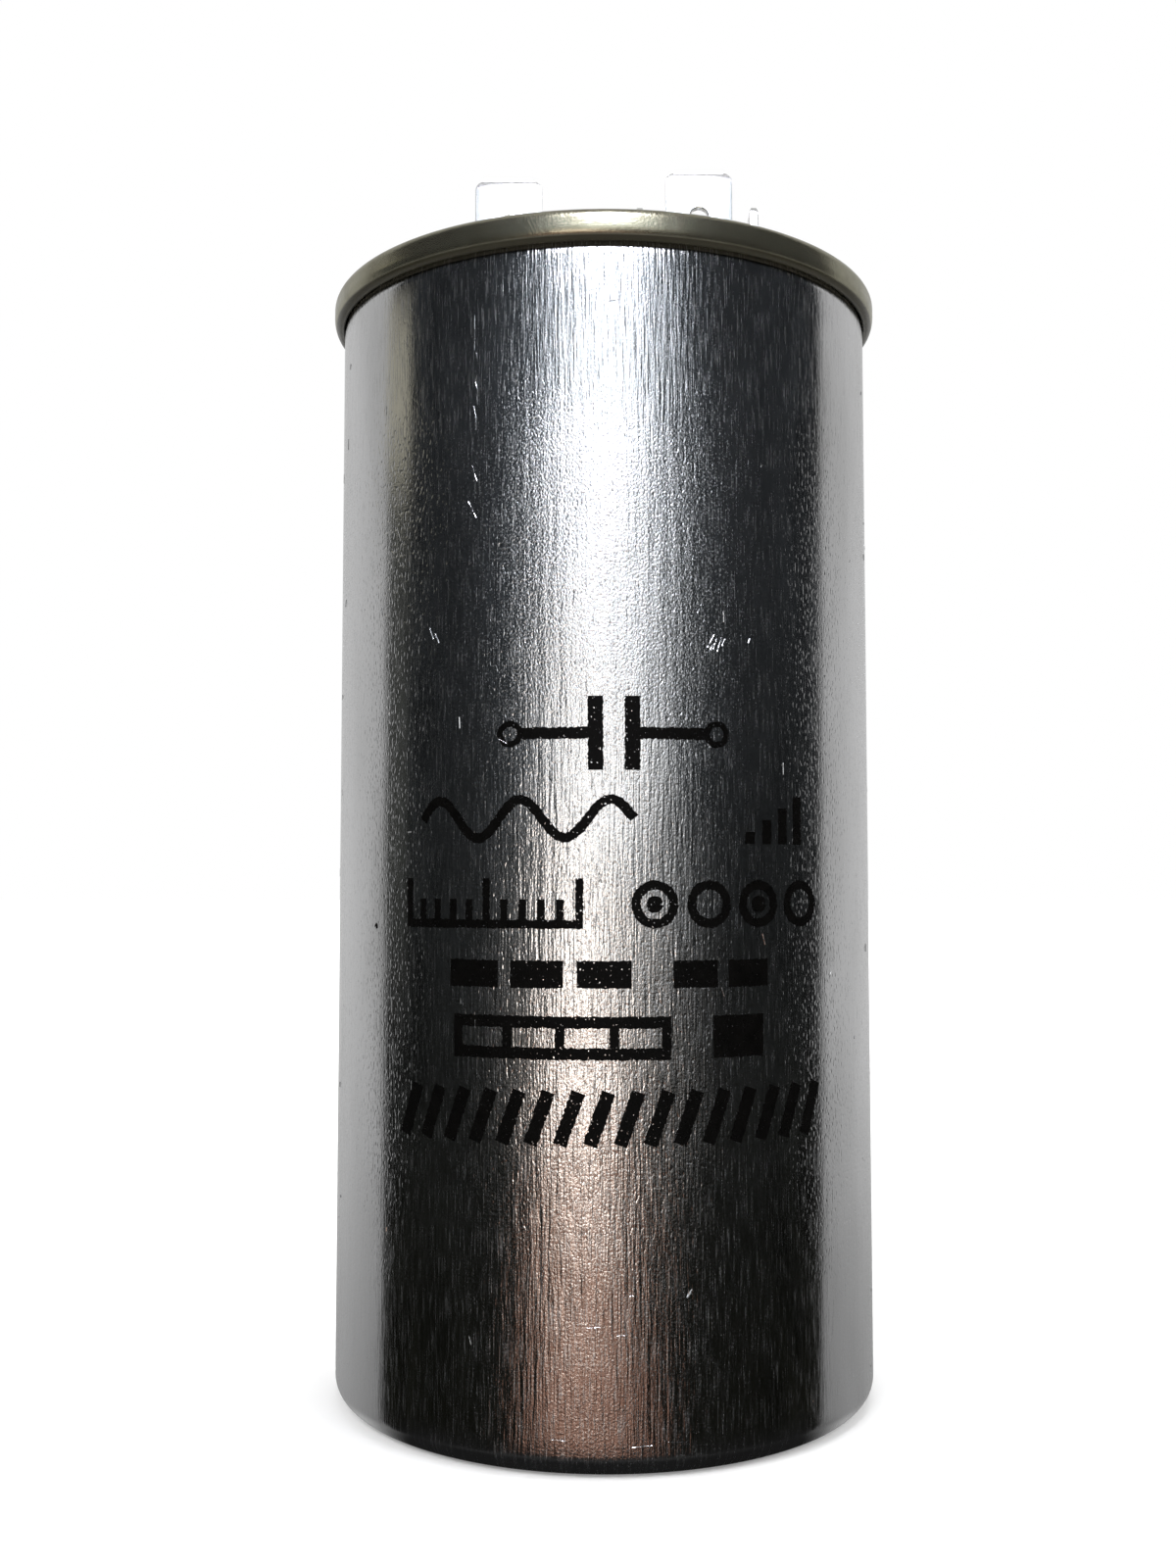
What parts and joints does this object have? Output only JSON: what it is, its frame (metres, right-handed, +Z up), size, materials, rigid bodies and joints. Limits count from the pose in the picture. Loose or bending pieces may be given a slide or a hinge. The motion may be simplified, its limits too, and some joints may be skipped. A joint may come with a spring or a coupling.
{
  "type": "motor run capacitor",
  "caption": "Round metal-can capacitor: a drawn aluminium can closed by a seamed tinplate cover, with push-on tabs on insulated terminals. Starts or runs an AC motor.",
  "frame": {"origin": "centre of the can's underside, on the surface that the part stands on", "axes": "+Z up the can's axis towards the tabs, +X from the terminal with one bracket towards the terminal with crossed brackets, -Y towards the viewer of the picture"},
  "size_m": [0.052, 0.052, 0.114],
  "materials": {
    "can_metal": "drawn, bright, with fine upright streaks",
    "cover_metal": "tinplate, satin",
    "tab_metal": "tin plated, satin",
    "rivet_metal": "tin plated",
    "lead_metal": "tinned copper wire",
    "insulator_plastic": "moulded, satin black",
    "seal_rubber": "matt",
    "board_brown": "resin-bonded paper",
    "film_metallised": "metallised film, glossy",
    "white_plastic": "moulded, satin white",
    "spray_metal": "sprayed zinc, matt and grainy",
    "wrap_film": "plain plastic film"
  },
  "bodies": {
    "root": {"can": "can_metal", "cover": "cover_metal", "seam_gasket": "seal_rubber", "terminal_insulator_left": "insulator_plastic", "terminal_insulator_right": "insulator_plastic", "terminal_seal_left": "seal_rubber", "terminal_seal_right": "seal_rubber", "inner_insulator_left": "insulator_plastic", "inner_insulator_right": "insulator_plastic", "tab_bracket_left": "tab_metal", "tab_bracket_right_lower": "tab_metal", "tab_bracket_right_upper": "tab_metal", "rivet_left": "rivet_metal", "rivet_right": "rivet_metal", "solder_lug_left": "tab_metal", "solder_lug_right": "tab_metal", "top_lead": "lead_metal", "bottom_lead": "lead_metal", "spacer_disc": "board_brown", "film_winding": "film_metallised", "winding_core": "white_plastic", "end_spray_top": "spray_metal", "end_spray_bottom": "spray_metal", "insulating_wrap": "wrap_film", "bottom_cup": "white_plastic"}
  },
  "joints": []
}
